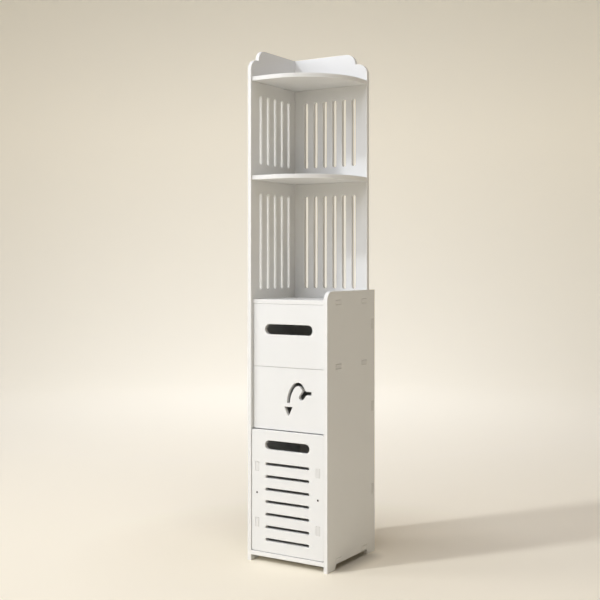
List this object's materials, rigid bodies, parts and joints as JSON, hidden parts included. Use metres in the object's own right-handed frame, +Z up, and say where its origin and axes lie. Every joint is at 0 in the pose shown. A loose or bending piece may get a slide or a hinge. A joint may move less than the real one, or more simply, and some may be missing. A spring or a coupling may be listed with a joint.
{
  "type": "narrow bathroom cabinet",
  "caption": "Tall narrow white bathroom cabinet of tenoned foam boards, with slatted open corner shelves, a tissue drawer, a push-in drop flap and a louvred bin drawer.",
  "frame": {"origin": "centre of the footprint, on the floor", "axes": "+Z up, -Y out of the front, +X to the right as seen from the front"},
  "size_m": [0.217, 0.226, 1.2],
  "materials": {
    "white_board": "satin",
    "zinc_steel": "zinc plated",
    "black_steel": "black oxide",
    "dowel_wood": "raw"
  },
  "bodies": {
    "carcass": {"left_side_panel": "white_board", "right_side_panel": "white_board", "bottom_board": "white_board", "divider_shelf": "white_board", "counter_board": "white_board", "mid_shelf": "white_board", "top_shelf": "white_board", "lower_back_panel": "white_board", "upper_back_panel": "white_board", "bin_left_guide": "white_board", "bin_right_guide": "white_board", "guide_screws": "black_steel"},
    "tissue_drawer": {"tissue_drawer_front": "white_board", "tissue_drawer_left_side": "white_board", "tissue_drawer_right_side": "white_board", "tissue_drawer_back": "white_board", "tissue_drawer_bottom": "white_board", "tissue_front_dowels": "dowel_wood"},
    "flap": {"drop_flap": "white_board", "flap_left_pin": "zinc_steel", "flap_right_pin": "zinc_steel"},
    "bin_drawer": {"bin_drawer_front": "white_board", "bin_drawer_left_side": "white_board", "bin_drawer_right_side": "white_board", "bin_drawer_back": "white_board", "bin_drawer_bottom": "white_board", "bin_front_screws": "black_steel"}
  },
  "joints": [
    {"name": "tissue_drawer_slide", "type": "slide", "parent": "carcass", "child": "tissue_drawer", "axis": [0, -1, 0], "range_m": [0, 0.14]},
    {"name": "flap_hinge", "type": "hinge", "parent": "carcass", "child": "flap", "pos_m": [0, -0.1, 0.4421], "axis": [1, 0, 0], "range_deg": [0, 75]},
    {"name": "bin_drawer_slide", "type": "slide", "parent": "carcass", "child": "bin_drawer", "axis": [0, -1, 0], "range_m": [0, 0.16]}
  ]
}
